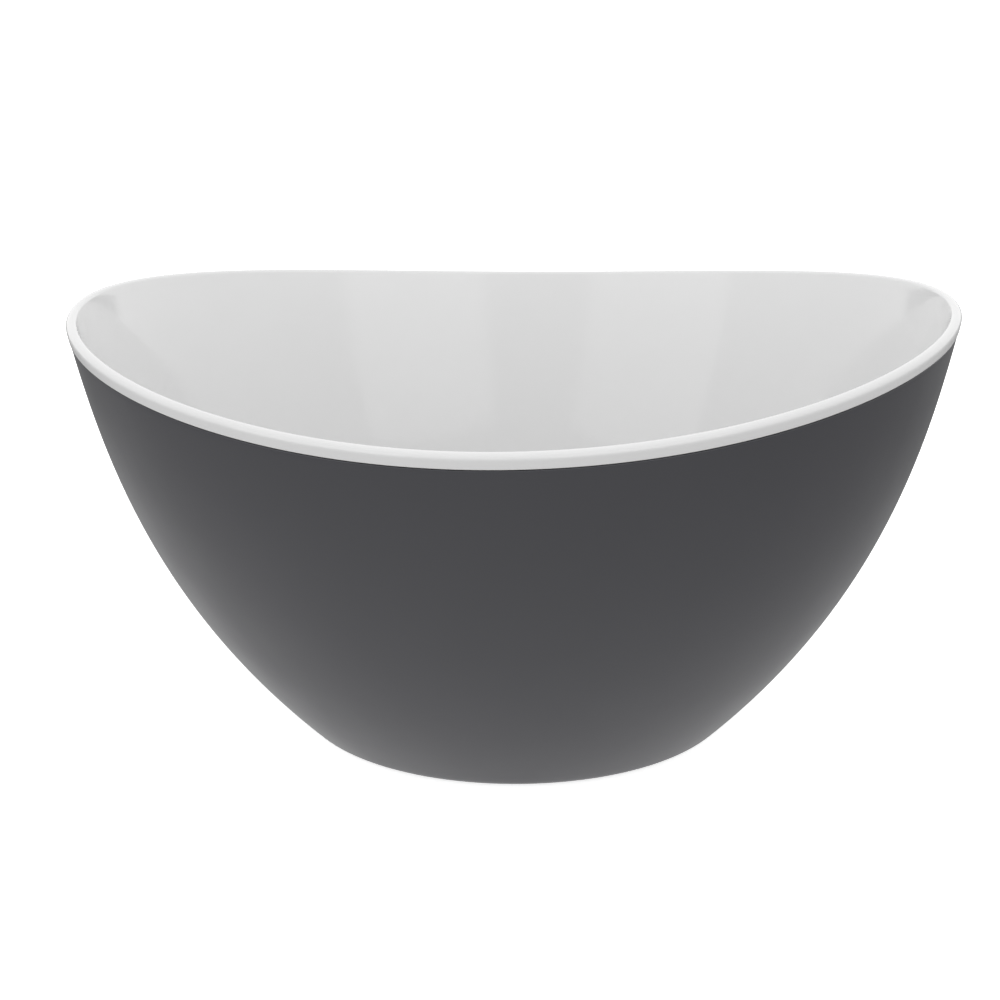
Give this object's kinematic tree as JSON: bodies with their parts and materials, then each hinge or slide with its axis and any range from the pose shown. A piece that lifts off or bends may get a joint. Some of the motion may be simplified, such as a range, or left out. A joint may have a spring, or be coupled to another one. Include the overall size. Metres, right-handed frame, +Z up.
{
  "type": "serving bowl",
  "caption": "Oval two-tone double-wall serving bowl with a saddle-curved rim, a white inner bowl in a charcoal outer shell, for chips or salad.",
  "frame": {"origin": "on the table, at the centre of the oval foot ring", "axes": "+X along the bowl's length, towards one of the rim's two high tips, +Y across its width, +Z up"},
  "size_m": [0.2994, 0.2538, 0.1515],
  "materials": {
    "white_gloss": "gloss",
    "charcoal_satin": "satin",
    "seal": "matte",
    "non_slip": "matte"
  },
  "bodies": {
    "root": {"inner_bowl": "white_gloss", "outer_shell": "charcoal_satin", "rim_seal": "seal", "foot_ring": "non_slip"}
  },
  "joints": []
}
